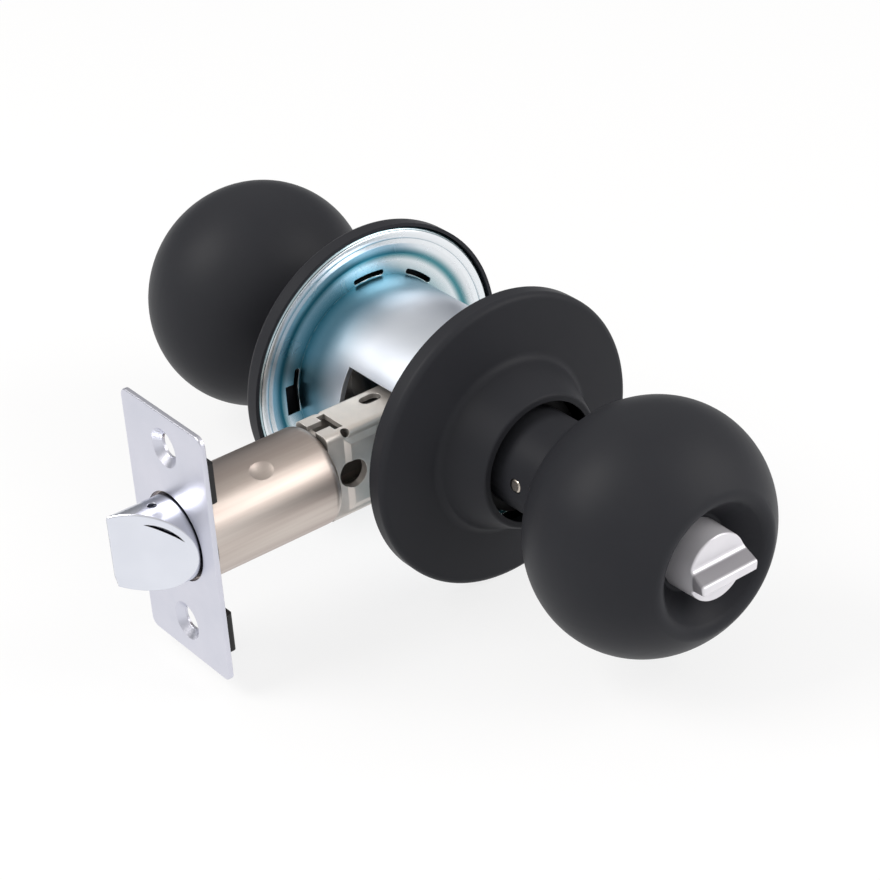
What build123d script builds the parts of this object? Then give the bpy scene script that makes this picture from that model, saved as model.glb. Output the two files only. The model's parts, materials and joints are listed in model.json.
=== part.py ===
# Privacy door knob set: two ball knobs on a cylindrical chassis, with a spring latch.
# Frame: +Z up. The knobs turn about Y, the latch slides along X, and the two axes cross at the
# origin. The inside knob, with its turn button, points to -Y, and the latch points to -X.
# On each side of the door a radius is measured from the knob axis, and a height from the
# door face of that side's rose, positive towards its knob.
from build123d import *
import os
from math import acos, cos, degrees, hypot, radians, sin, tan

# Fits and clearances
running_fit = 0.06      # radial play of a piece that turns or slides in a bore
push_fit = 0.1          # play of a piece that is pushed into another and stays
end_float = 0.3         # gap at the end of a piece that moves
guide_play = 0.4        # play on each side of a piece that slides between walls

# Door and roses
inside_face = 14.2      # latch axis to the inside rose's door face
outside_face = 26.0     # latch axis to the outside rose's door face
rose_sheet = 0.8
rose_dia = 65.6
rim_height = 4.0
face_rise = 1.2         # how far the face climbs from the rim to the hub
hub_foot_dia = 38.4
hub_shoulder_dia = 34.8
hub_shoulder = 9.4
rose_height = 15.0
lip_dia = 29.8
mouth_dia = 27.0
rim_round = 1.4
foot_round = 2.2
shoulder_round = 5.0
lip_round = 0.7

# Plates behind the roses
plate_inset = 0.3       # door face to the plate's flat ring
plate_floor = 1.2       # door face to the plate's sunk floor
plate_curl = 0.6
plate_bend = 1.1        # outer radius of the plate's bends
plate_play = 0.2        # rose wall to plate edge
plate_ring = 3.0        # width of the plate's flat ring
plate_step = 2.8        # width of the slope from the ring down to the floor
liner_slot_width = 1.2
liner_slot_arc = 18.0   # degrees
liner_slot_pairs = 3
liner_slot_pair = 38.0  # degrees between two slots of a pair
liner_slot_turn = 71.0  # degrees from +X to the middle of the first pair
liner_slot_gap = 0.2    # case wall to slot
stud_notch_height = 7.0
stud_notch_depth = 3.2

# Chassis
case_dia = 41.6
case_wall = 1.2
end_wall = 1.4
window_height = 24.0
window_width = 25.0
hub_dia = 26.0
hub_height = 10.2
hub_flange_dia = 28.6
hub_flange = 1.2
screw_circle = 33.2
screw_count = 2
screw_turn = 90.0       # degrees from +X to the first screw
screw_dia = 4.0
screw_head_dia = 6.6
screw_head = 1.7
screw_end = 2.0         # how far a screw passes the cap
screw_slot = 0.9

# Spindles
spindle_dia = 19.2
spindle_wall = 1.6
spindle_end = 50.0
collar_dia = 24.8
collar = 1.0
cam_plane = 9.2         # latch axis to the spindle's end plate
cam_plate = 1.6
cam_length = 2.0
cam_outer_dia = 8.6
cam_inner_dia = 5.8
cam_width = 2.8

# Knobs
ball_dia = 53.0
ball_depth = 46.6
inside_reach = 48.0     # door face to the ball's centre
outside_reach = 46.1
knob_wall = 1.3
neck_dia = 22.0
neck_wall = 1.2
neck_gap = 0.6          # hub end to neck
dish_dia = 28.4
dish_depth = 7.6
dish_floor_dia = 16.6
dish_edge = 2.4
release_hole_dia = 3.0

# Knob catches
catch_setback = 28.2    # ball's centre to the middle of the catch's tongue
catch_angle = 174.0     # degrees about the knob axis, from +X towards +Z
tongue_width = 2.8
tongue_length = 3.0
tongue_round = 1.2
tongue_crown = 0.5
leaf_width = 5.0
leaf_length = 16.0
leaf_sheet = 0.6
leaf_offset = 7.2       # knob axis to the leaf's outer face

# Turn button
button_dia = 14.8
button_taper = 0.2
button_setback = 8.0    # ball's centre to the button's back
shelf_setback = 19.2    # ball's centre to the button's shelf
bar_height = 3.6        # shelf to the front of the finger bar
bar_foot = 4.2          # thickness of the finger bar at the shelf
bar_tip = 2.0
bar_lean = 0.9          # how far the bar's tip sits below the middle of its foot
bar_root_round = 1.0
button_edge = 0.5
shelf_edge = 0.45
clip_groove_depth = 0.7
clip_sheet = 0.8
clip_width = 2.0
clip_mouth = 5.0
stem_dia = 4.0
socket_depth = 7.0
bush_height = 44.0      # inside door face to the bush in the inside spindle
bush_length = 4.0
outer_bush = 18.0       # latch axis to the bush in the outside spindle
dog_place = 13.0        # latch axis to the lock dog
dog_dia = 14.0
dog_thickness = 2.0
dog_flat = 8.0
tip_dia = 7.0
tip_length = 7.0
tip_slot = 1.2
tip_slot_depth = 2.0

# Latch
backset = 70.6          # knob axis to the faceplate's front
plate_width = 28.6
plate_height = 57.2
plate_sheet = 1.0
plate_corner = 2.0
plate_edge = 0.3
plate_screw_spacing = 41.2
plate_hole_dia = 5.2
plate_sink_dia = 8.6
plate_sink_angle = 100.0
sink_wall = 0.9         # sheet left round a sunk hole
sink_height = 1.0       # how far a sunk hole stands out behind the plate
bolt_dia = 18.4
bolt_hole_play = 0.55
bolt_throw = 12.7
bolt_back = 3.8         # latch axis to the bolt's flat back
bolt_heel = 0.6         # how far the slant stops short of the plate
bolt_edge = 0.4
strike_band = 5.6       # latch axis to the band at the foot of the slant
strike_turn = 9.0       # degrees that the band turns down from the slant
groove_near = 7.4       # bolt's tip to the groove, along the slant
groove_far = 15.4
groove_high = 6.9       # height of the groove's near end above the latch axis
groove_low = 3.2
groove_bulge = 1.2
groove_width = 0.9
groove_depth = 0.9
dimple_dia = 1.9
dimple_depth = 0.6
dimple_place = 8.4      # bolt's tip to the dimple
bolt_collar_dia = 19.4
bolt_collar = 2.5
boss_dia = 10.6
boss_length = 6.0
backing_sheet = 2.0
ear_width = 27.0
ear_low = 13.2
ear_high = 22.0
ear_play = 0.4          # sunk hole to the ear's slot
ear_edge = 0.8
ear_bridge = 12.0
ring_width = 1.0        # backing ring round the tube's spigot
tube_dia = 21.6
tube_wall = 1.0
spigot_wall = 0.7
tube_end = 36.2         # knob axis to the tube's rear end
tube_draw = 2.4
tube_mark_place = 52.0
tube_mark_dia = 5.4
tube_mark_depth = 0.6
tube_mark_angle = 117.0 # degrees about the latch axis, from +Y towards +Z
tail_width = 6.0
tail_sheet = 2.0
tail_head = 2.8
tail_head_width = 10.8
tail_end = 15.2         # knob axis to the tail's end
pin_dia = 2.0
spring_dia = 13.0
spring_wire = 1.0
spring_turns = 6

# Fork behind the tube
fork_width = 11.0
fork_height = 20.4
fork_sheet = 1.2
fork_fold = 1.4
fork_end = 12.0         # knob axis to the fork's rear end
panel_start = 32.2
panel_end = 23.4
panel_height = 17.0
panel_rise = 0.6
panel_slope = 66.0      # degrees that the raised panel's sides lean in
fork_hole_dia = 6.4
fork_hole_place = 30.6
notch_width = 3.0
notch_length = 3.6
notch_bar_width = 6.6
notch_bar = 2.0
relief_dia = 2.0
relief_place = 31.4
slot_length = 5.0
slot_width = 3.0
slot_place = 20.0
slot_side = 1.6         # latch axis to the slot's middle

# Retractor
hook_play = 0.2
hook = 1.8
hook_gap = 7.0          # clear height between the two hooks
arm_height = 2.7
web_start = 2.6
web = 2.0
wing = 1.4
wing_height = 7.8
wing_width = 17.6
seat_x = 8.0            # knob axis to the spring seats' far face
seat = 1.6
return_spring_dia = 3.6
return_wire = 0.6
return_turns = 6
return_spring_y = 6.3
return_spring_z = 6.4
spring_plate = 0.7
spring_plate_x = 17.5
spring_plate_width = 24.0
spring_plate_height = 14.0

# Sizes worked out from those above
tiny = 0.01
rose_r = rose_dia / 2
case_r = case_dia / 2
case_bore = case_r - case_wall
hub_r = hub_dia / 2
spindle_r = spindle_dia / 2
spindle_bore = spindle_r - spindle_wall
hub_bore = spindle_r + running_fit
flange_top = plate_floor - end_wall
flange_foot = flange_top - hub_flange
collar_top = flange_foot - end_float
neck_r = neck_dia / 2
neck_bore = neck_r - neck_wall
neck_foot = hub_height + neck_gap
ball_r = ball_dia / 2
ball_half = ball_depth / 2
stem_r = stem_dia / 2
stem_bore = stem_r + running_fit
dish_r = dish_dia / 2
dish_rim = inside_reach + ball_half * sin(acos(dish_r / ball_r))
dish_floor = dish_rim - dish_depth
button_r = button_dia / 2
button_bore = button_r + running_fit
button_back = inside_reach + button_setback
shelf = inside_reach + shelf_setback
button_front = shelf + bar_height
clip_top = dish_floor - knob_wall - end_float
plate_back = -backset + plate_sheet
backing_back = plate_back + backing_sheet
bolt_r = bolt_dia / 2
bolt_tip = -backset - bolt_throw
sink_r = plate_hole_dia / 2 + sink_wall + sink_height * tan(radians(plate_sink_angle / 2))
spigot_bore = bolt_r + running_fit
spigot_r = spigot_bore + spigot_wall
tube_r = tube_dia / 2
tube_bore = tube_r - tube_wall
tube_shoulder = backing_back + tube_wall
collar_front = tube_shoulder + end_float
collar_back = collar_front + bolt_collar
boss_back = collar_back + boss_length
tube_inner_end = -tube_end - tube_wall
fork_bore_y = fork_width / 2 - fork_sheet
fork_bore_z = fork_height / 2 - fork_sheet
arm_half = fork_bore_y - guide_play
arm_top = fork_bore_z - guide_play
arm_foot = arm_top - arm_height
head_front = -tail_end - tail_head
hook_back = head_front - hook_play
web_back = web_start + web

inside = Plane(origin=(0, -inside_face, 0), x_dir=(1, 0, 0), z_dir=(0, 0, -1))
outside = Plane(origin=(0, outside_face, 0), x_dir=(1, 0, 0), z_dir=(0, 0, 1))


def level(side, height):
    """A plane square to the knob axis, looking out of the door, with its y along Z or -Z."""
    return Plane(origin=side.origin + side.y_dir * height, x_dir=(1, 0, 0), z_dir=side.y_dir)


def turned(side, points):
    """A solid turned about the knob axis from points of radius and height."""
    with BuildPart() as turning:
        with BuildSketch(side):
            with BuildLine():
                Polyline(*points, close=True)
            make_face()
        revolve(axis=Axis.Y)
    return turning.part


def sheet_turned(side, points, rounds, sheet, face):
    """A sheet cup turned about the knob axis: an outline with rounded corners, made thick."""
    with BuildPart() as cup:
        with BuildSketch(side):
            with BuildLine():
                FilletPolyline(*points, radius=rounds)
                offset(amount=sheet, side=face, closed=True)
            make_face()
        revolve(axis=Axis.Y)
    return cup.part


def coil(start, end, y, z, dia, wire, turns):
    """A coil spring along X that fills the space from start to end."""
    length = end - start - wire
    with BuildPart() as spring:
        with BuildLine() as path:
            Helix(length / turns, length, (dia - wire) / 2, (start + wire / 2, y, z), (1, 0, 0))
        with BuildSketch(Plane(origin=path.line @ 0, z_dir=path.line % 0)):
            Circle(wire / 2)
        sweep(is_frenet=True)
    return spring.part


def save(part, name):
    part.label = name
    export_step(part, "parts/" + name + ".step")


def rose(side):
    """The drawn cover that lies on the door, with a hub that rises round the knob's neck."""
    outline = [
        (rose_r, 0),
        (rose_r, rim_height),
        (hub_foot_dia / 2, rim_height + face_rise),
        (hub_shoulder_dia / 2, hub_shoulder),
        (lip_dia / 2, rose_height),
        (mouth_dia / 2, rose_height),
    ]
    rounds = [rim_round, foot_round, shoulder_round, lip_round]
    return sheet_turned(side, outline, rounds, rose_sheet, Side.LEFT)


def rose_plate(side):
    """The pressed plate inside a rose: a flat ring, a step and a floor that meets the case."""
    edge = rose_r - rose_sheet - plate_play
    outline = [
        (edge, plate_inset + plate_curl),
        (edge - plate_curl, plate_inset),
        (edge - plate_curl - plate_ring, plate_inset),
        (edge - plate_curl - plate_ring - plate_step, plate_floor),
        (hub_r + push_fit, plate_floor),
    ]
    rounds = [plate_bend, plate_bend, plate_bend]
    return sheet_turned(side, outline, rounds, rose_sheet, Side.RIGHT)


def hub(side):
    """The bearing tube that carries a spindle, held by its flange behind the case's end."""
    return turned(side, [
        (hub_bore, flange_foot),
        (hub_flange_dia / 2, flange_foot),
        (hub_flange_dia / 2, flange_top),
        (hub_r, flange_top),
        (hub_r, hub_height),
        (hub_bore, hub_height),
    ])


def catch_plane(side, reach):
    """A plane on the catch's leaf that faces out, with its x along the knob axis."""
    out = Vector(cos(radians(catch_angle)), 0, sin(radians(catch_angle)))
    middle = side.origin + side.y_dir * (reach - catch_setback) + out * leaf_offset
    return Plane(origin=middle, x_dir=side.y_dir, z_dir=out)


def spindle(side, depth, reach):
    """The tube that a knob turns, with a collar inside its hub and two cams at its inner end."""
    foot = cam_plane - depth
    body = turned(side, [
        (cam_inner_dia / 2, foot),
        (spindle_r, foot),
        (spindle_r, collar_top - collar),
        (collar_dia / 2, collar_top - collar),
        (collar_dia / 2, collar_top),
        (spindle_r, collar_top),
        (spindle_r, spindle_end),
        (spindle_bore, spindle_end),
        (spindle_bore, foot + cam_plate),
        (cam_inner_dia / 2, foot + cam_plate),
    ])
    with BuildPart() as tube:
        add(body)
        with BuildSketch(level(side, foot)):
            Circle(cam_outer_dia / 2)
            Circle(cam_inner_dia / 2, mode=Mode.SUBTRACT)
            Rectangle(cam_width, cam_outer_dia, mode=Mode.INTERSECT)
        extrude(amount=-cam_length)
        with BuildSketch(catch_plane(side, reach)):
            RectangleRounded(tongue_length, tongue_width, tongue_round)
            offset(amount=push_fit)
        extrude(amount=spindle_r, mode=Mode.SUBTRACT)
    return tube.part


def catch(side, reach):
    """The spring leaf inside a spindle, whose tongue holds the knob's neck."""
    with BuildPart() as leaf:
        with BuildSketch(catch_plane(side, reach)):
            RectangleRounded(tongue_length, tongue_width, tongue_round)
        tongue = extrude(amount=neck_r - leaf_offset)
        fillet(tongue.faces().sort_by(Axis.X)[0].edges(), tongue_crown)
        with BuildSketch(catch_plane(side, reach)):
            Rectangle(leaf_length, leaf_width)
        extrude(amount=-leaf_sheet)
    return leaf.part


def ball_arc(reach, radius, half, neck, mouth):
    """Half the ball's oval outline, from its neck round to its mouth."""
    start = -degrees(acos(neck / radius))
    finish = degrees(acos(mouth / radius))
    return EllipticalCenterArc((0, reach), radius, half, start, arc_size=finish - start)


def knob(side, reach, dished):
    """A hollow ball with its neck. The inside ball is dished round the turn button."""
    mouth_r = dish_r if dished else release_hole_dia / 2
    with BuildPart() as shell:
        with BuildSketch(side):
            with BuildLine():
                skin = ball_arc(reach, ball_r, ball_half, neck_r, mouth_r)
                inner_mouth = mouth_r + knob_wall if dished else mouth_r
                lining = ball_arc(
                    reach, ball_r - knob_wall, ball_half - knob_wall, neck_bore, inner_mouth
                )
                Polyline(skin @ 0, (neck_r, neck_foot), (neck_bore, neck_foot), lining @ 0)
                if dished:
                    Polyline(
                        skin @ 1,
                        (dish_floor_dia / 2, dish_floor),
                        (button_bore, dish_floor),
                        (button_bore, dish_floor - knob_wall),
                        (dish_floor_dia / 2 + knob_wall / 2, dish_floor - knob_wall),
                        lining @ 1,
                    )
                else:
                    Line(skin @ 1, lining @ 1)
            make_face()
        revolve(axis=Axis.Y)
        with BuildSketch(catch_plane(side, reach)):
            RectangleRounded(tongue_length, tongue_width, tongue_round)
            offset(amount=push_fit)
        extrude(amount=neck_r, mode=Mode.SUBTRACT)
        if dished:
            rim_edges = shell.edges().filter_by(GeomType.CIRCLE)
            rim = rim_edges.filter_by(lambda edge: abs(edge.radius - dish_r) < tiny)
            fillet(rim, dish_edge)
    return shell.part


def stem_bush(side, height):
    """The bush that centres the turn button's stem in a spindle."""
    return turned(side, [
        (stem_bore, height),
        (spindle_bore - push_fit, height),
        (spindle_bore - push_fit, height + bush_length),
        (stem_bore, height + bush_length),
    ])


os.makedirs("parts", exist_ok=True)

# Roses, plates, hubs, spindles, catches and knobs, once for each side of the door
sides = (
    (inside, "inside", inside_face, inside_reach),
    (outside, "outside", outside_face, outside_reach),
)
for side, name, depth, reach in sides:
    save(rose(side), name + "_rose")
    save(hub(side), name + "_hub")
    save(spindle(side, depth, reach), name + "_spindle")
    save(catch(side, reach), name + "_knob_catch")
    save(knob(side, reach, dished=side is inside), name + "_knob")

save(stem_bush(inside, bush_height), "inside_stem_bush")
save(stem_bush(outside, outer_bush - outside_face), "outside_stem_bush")

# Liner of the outside rose, with the slots that let a spanner turn it to the door's thickness
liner_body = rose_plate(outside)
with BuildPart() as outside_rose_liner:
    add(liner_body)
    slot_r = case_r + liner_slot_gap + liner_slot_width / 2
    slot_angles = [
        liner_slot_turn + pair * 360 / liner_slot_pairs + way * liner_slot_pair / 2
        for pair in range(liner_slot_pairs)
        for way in (-1, 1)
    ]
    with BuildSketch(level(outside, plate_floor)):
        for angle in slot_angles:
            SlotArc(
                CenterArc((0, 0), slot_r, -angle - liner_slot_arc / 2, liner_slot_arc),
                liner_slot_width,
            )
        with Locations((-case_r - stud_notch_depth / 2, 0)):
            Rectangle(stud_notch_depth, stud_notch_height)
    extrude(amount=rose_sheet, both=True, mode=Mode.SUBTRACT)
save(outside_rose_liner.part, "outside_rose_liner")

# Mounting plate of the inside rose, with its two machine screws
plate_body = rose_plate(inside)
with BuildPart() as inside_mounting_plate:
    add(plate_body)
    with Locations(level(inside, plate_floor + rose_sheet)):
        with PolarLocations(screw_circle / 2, screw_count, start_angle=screw_turn):
            Hole(screw_dia / 2 + push_fit, depth=2 * rose_sheet)
save(inside_mounting_plate.part, "inside_mounting_plate")

with BuildPart() as mounting_screws:
    with BuildSketch(level(inside, plate_floor + rose_sheet)):
        with PolarLocations(screw_circle / 2, screw_count, start_angle=screw_turn):
            Circle(screw_head_dia / 2)
    extrude(amount=screw_head)
    crowns = mounting_screws.faces().filter_by(Axis.Y).sort_by(Axis.Y)[:screw_count]
    fillet(crowns.edges(), screw_head / 2)
    with BuildSketch(level(inside, plate_floor + rose_sheet)):
        with PolarLocations(screw_circle / 2, screw_count, start_angle=screw_turn):
            Circle(screw_dia / 2)
    extrude(amount=-(rose_sheet + end_wall + screw_end))
    with BuildSketch(level(inside, plate_floor + rose_sheet + screw_head)):
        with PolarLocations(screw_circle / 2, screw_count, start_angle=screw_turn):
            Rectangle(screw_slot, screw_head_dia)
    extrude(amount=-screw_head / 2, mode=Mode.SUBTRACT)
save(mounting_screws.part, "mounting_screws")

# Chassis case, closed at its outside end, with the window that takes the latch
case_start = -inside_face - plate_floor
case_finish = outside_face + plate_floor
with BuildPart() as chassis_case:
    with BuildSketch(Plane.XY):
        with BuildLine():
            Polyline(
                (hub_r + push_fit, case_finish),
                (case_r, case_finish),
                (case_r, case_start),
                (case_bore, case_start),
                (case_bore, case_finish - end_wall),
                (hub_r + push_fit, case_finish - end_wall),
                close=True,
            )
        make_face()
    revolve(axis=Axis.Y)
    with BuildSketch(Plane.YZ.offset(-case_r)):
        Rectangle(window_width, window_height)
    extrude(amount=case_r / 2, both=True, mode=Mode.SUBTRACT)
save(chassis_case.part, "chassis_case")

# Cap that closes the case's inside end and takes the mounting screws
cap_body = turned(inside, [
    (hub_r + push_fit, flange_top),
    (case_bore - push_fit, flange_top),
    (case_bore - push_fit, plate_floor),
    (hub_r + push_fit, plate_floor),
])
with BuildPart() as case_cap:
    add(cap_body)
    with Locations(level(inside, plate_floor)):
        with PolarLocations(screw_circle / 2, screw_count, start_angle=screw_turn):
            Hole(screw_dia / 2 + running_fit, depth=end_wall)
save(case_cap.part, "case_cap")

# Turn button: a round body with a finger bar standing on its shelf
button_body = turned(inside, [
    (0, button_back),
    (button_r, button_back),
    (button_r, dish_floor),
    (button_r - button_taper, button_front),
    (0, button_front),
])
shelf_y = -inside_face - shelf
front_y = -inside_face - button_front
with BuildPart() as turn_button:
    add(button_body)
    fillet(turn_button.faces().sort_by(Axis.Y)[0].edges(), button_edge)
    with BuildSketch(Plane.YZ) as bar_sides:
        for way in (-1, 1):
            with BuildLine():
                Polyline(
                    (shelf_y, way * bar_foot / 2),
                    (front_y - tiny, way * bar_tip / 2 - bar_lean),
                    (front_y - tiny, way * button_dia),
                    (shelf_y, way * button_dia),
                    close=True,
                )
            make_face()
        roots = bar_sides.vertices().filter_by_position(Axis.Y, -bar_foot / 2 - tiny, bar_foot / 2 + tiny)
        fillet(roots.sort_by(Axis.X)[-2:], bar_root_round)
    extrude(amount=button_dia, both=True, mode=Mode.SUBTRACT)
    shelf_rims = turn_button.edges().filter_by(GeomType.CIRCLE)
    fillet(shelf_rims.filter_by_position(Axis.Y, shelf_y - tiny, shelf_y + tiny), shelf_edge)
    with BuildSketch(level(inside, clip_top)):
        Circle(button_dia)
        Circle(button_r - clip_groove_depth, mode=Mode.SUBTRACT)
    extrude(amount=-clip_sheet, mode=Mode.SUBTRACT)
    with BuildSketch(level(inside, button_back)):
        Circle(stem_r + push_fit / 2)
    extrude(amount=socket_depth, mode=Mode.SUBTRACT)
save(turn_button.part, "turn_button")

# Open ring that keeps the button from pulling out of the dish
with BuildPart() as button_clip:
    clip_bore = button_r - clip_groove_depth + push_fit
    with BuildSketch(level(inside, clip_top - push_fit / 2)):
        Circle(clip_bore + clip_width)
        Circle(clip_bore, mode=Mode.SUBTRACT)
        with Locations((clip_bore + clip_width / 2, 0)):
            Rectangle(2 * clip_width, clip_mouth, mode=Mode.SUBTRACT)
    extrude(amount=-(clip_sheet - push_fit))
save(button_clip.part, "button_clip")

# Stem through the chassis, with the dog that locks the outside spindle and the release tip
stem_start = -inside_face - button_back - socket_depth + push_fit
stem_finish = outer_bush + bush_length + tip_length / 2
with BuildPart() as turn_stem:
    with BuildSketch(Plane(origin=(0, stem_start, 0), x_dir=(1, 0, 0), z_dir=(0, 1, 0))):
        Circle(stem_r)
    extrude(amount=stem_finish - stem_start)
save(turn_stem.part, "turn_stem")

with BuildPart() as lock_dog:
    with BuildSketch(level(outside, dog_place - outside_face)):
        Circle(dog_dia / 2)
        Rectangle(dog_dia, dog_flat, mode=Mode.INTERSECT)
        Circle(stem_r + push_fit / 2, mode=Mode.SUBTRACT)
    extrude(amount=dog_thickness)
save(lock_dog.part, "lock_dog")

tip_start = outer_bush + bush_length + end_float - outside_face
with BuildPart() as release_tip:
    with BuildSketch(level(outside, tip_start)):
        Circle(tip_dia / 2)
    extrude(amount=tip_length)
    with BuildSketch(level(outside, tip_start)):
        Circle(stem_r + push_fit / 2)
    extrude(amount=stem_finish - outside_face - tip_start + push_fit, mode=Mode.SUBTRACT)
    with BuildSketch(level(outside, tip_start + tip_length)):
        Rectangle(tip_slot, tip_dia)
    extrude(amount=-tip_slot_depth, mode=Mode.SUBTRACT)
save(release_tip.part, "release_tip")

# Retractor: two arms that hook behind the latch tail, a web, wings for the cams, spring seats
with BuildPart() as retractor:
    with BuildSketch(Plane.XZ):
        with BuildLine():
            Polyline(
                (web_back, 0),
                (web_back, arm_top),
                (hook_back - hook, arm_top),
                (hook_back - hook, hook_gap / 2),
                (hook_back, hook_gap / 2),
                (hook_back, arm_foot),
                (web_start, arm_foot),
                (web_start, 0),
                close=True,
            )
        make_face()
        mirror(about=Plane.XZ)
    extrude(amount=arm_half, both=True)
    with BuildSketch(Plane.YZ.offset(web_back)):
        Rectangle(wing_width, wing_height)
    extrude(amount=wing)
    seat_y = return_spring_y + return_spring_dia / 2
    with BuildSketch(Plane.YZ.offset(-seat_x)):
        for way in (-1, 1):
            with Locations((way * seat_y / 2, way * (arm_foot + arm_height / 2))):
                Rectangle(seat_y, arm_height)
    extrude(amount=seat)
save(retractor.part, "retractor")

# Return springs of the retractor and the frame that they push against
springs = [
    coil(seat - seat_x, spring_plate_x, way * return_spring_y, way * return_spring_z,
         return_spring_dia, return_wire, return_turns)
    for way in (-1, 1)
]
save(Compound(children=springs), "retractor_springs")

with BuildPart() as spring_frame:
    with BuildSketch(Plane.YZ.offset(spring_plate_x)):
        Rectangle(spring_plate_width, spring_plate_height)
        Rectangle(
            wing_width + 2 * guide_play, wing_height + 2 * guide_play, mode=Mode.SUBTRACT
        )
    extrude(amount=spring_plate)
save(spring_frame.part, "spring_frame")

# Latch faceplate
with BuildPart() as latch_faceplate:
    with BuildSketch(Plane.YZ.offset(-backset)):
        RectangleRounded(plate_width, plate_height, plate_corner)
        Circle(bolt_r + bolt_hole_play, mode=Mode.SUBTRACT)
    extrude(amount=plate_sheet)
    front = latch_faceplate.faces().sort_by(Axis.X)[0]
    fillet(front.outer_wire().edges(), plate_edge)
    with BuildSketch(Plane.YZ.offset(plate_back)):
        with GridLocations(0, plate_screw_spacing, 1, 2):
            Circle(sink_r)
    extrude(amount=sink_height, taper=plate_sink_angle / 2)
    with Locations(Plane(origin=(-backset, 0, 0), x_dir=(0, -1, 0), z_dir=(-1, 0, 0))):
        with GridLocations(0, plate_screw_spacing, 1, 2):
            CounterSinkHole(
                plate_hole_dia / 2, plate_sink_dia / 2, counter_sink_angle=plate_sink_angle
            )
save(latch_faceplate.part, "latch_faceplate")

# Backing behind the faceplate: a ring on the tube's spigot with an ear at each screw
with BuildPart() as faceplate_backing:
    with BuildSketch(Plane.YZ.offset(plate_back)):
        Circle(spigot_r + push_fit + ring_width)
        with GridLocations(0, ear_low + ear_high, 1, 2):
            Rectangle(ear_width, ear_high - ear_low)
        Rectangle(ear_bridge, 2 * ear_low + tiny)
        Circle(spigot_r + push_fit, mode=Mode.SUBTRACT)
        with GridLocations(0, plate_screw_spacing, 1, 2):
            Circle(sink_r + ear_play, mode=Mode.SUBTRACT)
        with GridLocations(0, plate_screw_spacing + ear_high, 1, 2):
            Rectangle(2 * (sink_r + ear_play), ear_high, mode=Mode.SUBTRACT)
    extrude(amount=backing_sheet)
    ear_sides = faceplate_backing.edges().filter_by(Axis.Z).group_by(Axis.X)[-1]
    fillet(ear_sides.group_by(Axis.Y)[0] + ear_sides.group_by(Axis.Y)[-1], ear_edge)
save(faceplate_backing.part, "faceplate_backing")

# Latch tube: a spigot in the backing, a body, and a rear end drawn in round the tail's slot
with BuildPart() as latch_tube:
    with BuildSketch(Plane.XY):
        with BuildLine():
            draw_arc = JernArc((-tube_end - tube_draw, tube_r), (1, 0), tube_draw, -90)
            Polyline(
                draw_arc @ 1,
                (-tube_end, 0),
                (tube_inner_end, 0),
                (tube_inner_end, tube_bore),
                (tube_shoulder, tube_bore),
                (tube_shoulder, spigot_bore),
                (plate_back, spigot_bore),
                (plate_back, spigot_r),
                (backing_back, spigot_r),
                (backing_back, tube_r),
                draw_arc @ 0,
            )
        make_face()
    revolve(axis=Axis.X)
    with BuildSketch(Plane.YZ.offset(-tube_end)):
        Rectangle(tail_sheet + 2 * guide_play, tail_width + 2 * guide_play)
    extrude(amount=-2 * tube_wall, mode=Mode.SUBTRACT)
    mark_sphere = (tube_mark_dia ** 2 / 4 + tube_mark_depth ** 2) / (2 * tube_mark_depth)
    mark_away = tube_r - tube_mark_depth + mark_sphere
    mark_y = mark_away * cos(radians(tube_mark_angle))
    mark_z = mark_away * sin(radians(tube_mark_angle))
    with Locations((-tube_mark_place, mark_y, mark_z)):
        Sphere(mark_sphere, mode=Mode.SUBTRACT)
save(latch_tube.part, "latch_tube")

# Latch bolt: round body, flat back and a slanted strike face with a groove and a foot band
slant_run = bolt_throw - bolt_heel
slant_rise = bolt_r + bolt_back
slant = Plane(
    origin=(bolt_tip, bolt_back, 0),
    x_dir=(slant_run, -slant_rise, 0),
    z_dir=(-slant_rise, -slant_run, 0),
)
with BuildPart() as latch_bolt:
    with BuildSketch(Plane.YZ.offset(bolt_tip)):
        Circle(bolt_r)
        with Locations((-bolt_r + slant_rise / 2, 0)):
            Rectangle(slant_rise, bolt_dia, mode=Mode.INTERSECT)
    extrude(amount=collar_front - bolt_tip)
    with BuildSketch(slant):
        Rectangle(2 * hypot(slant_run, slant_rise), 2 * bolt_dia)
    extrude(amount=bolt_dia, mode=Mode.SUBTRACT)
    band_drop = bolt_dia * tan(radians(strike_turn))
    with BuildSketch(Plane(origin=slant.origin, x_dir=slant.z_dir, z_dir=slant.x_dir)):
        with BuildLine():
            Polyline(
                (0, strike_band),
                (-band_drop, strike_band + bolt_dia),
                (0, strike_band + bolt_dia),
                close=True,
            )
        make_face()
    extrude(amount=hypot(slant_run, slant_rise), both=True, mode=Mode.SUBTRACT)
    strike = latch_bolt.faces().filter_by(slant)[0]
    fillet(strike.edges().filter_by(GeomType.ELLIPSE), bolt_edge)
    groove_ends = ((groove_near, groove_high), (groove_far, groove_low))
    with BuildSketch(slant):
        with BuildLine():
            SagittaArc(*groove_ends, groove_bulge)
            SagittaArc(*groove_ends, groove_bulge - groove_width)
        make_face()
    extrude(amount=-groove_depth, mode=Mode.SUBTRACT)
    with Locations(Plane(origin=(bolt_tip + dimple_place, 0, bolt_r), z_dir=(0, 0, 1))):
        Hole(dimple_dia / 2, depth=dimple_depth)
    with BuildSketch(Plane.YZ.offset(collar_front)):
        Circle(bolt_collar_dia / 2)
    extrude(amount=bolt_collar)
    with BuildSketch(Plane.YZ.offset(collar_back)):
        Circle(boss_dia / 2)
    extrude(amount=boss_length)
    with BuildSketch(Plane.YZ.offset(boss_back)):
        Rectangle(tail_sheet + 2 * push_fit, tail_width + 2 * push_fit)
    extrude(amount=-boss_length, mode=Mode.SUBTRACT)
    with Locations(Plane(origin=(boss_back - boss_length / 2, boss_dia, 0), z_dir=(0, 1, 0))):
        Hole(pin_dia / 2 + running_fit, depth=2 * boss_dia)
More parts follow.
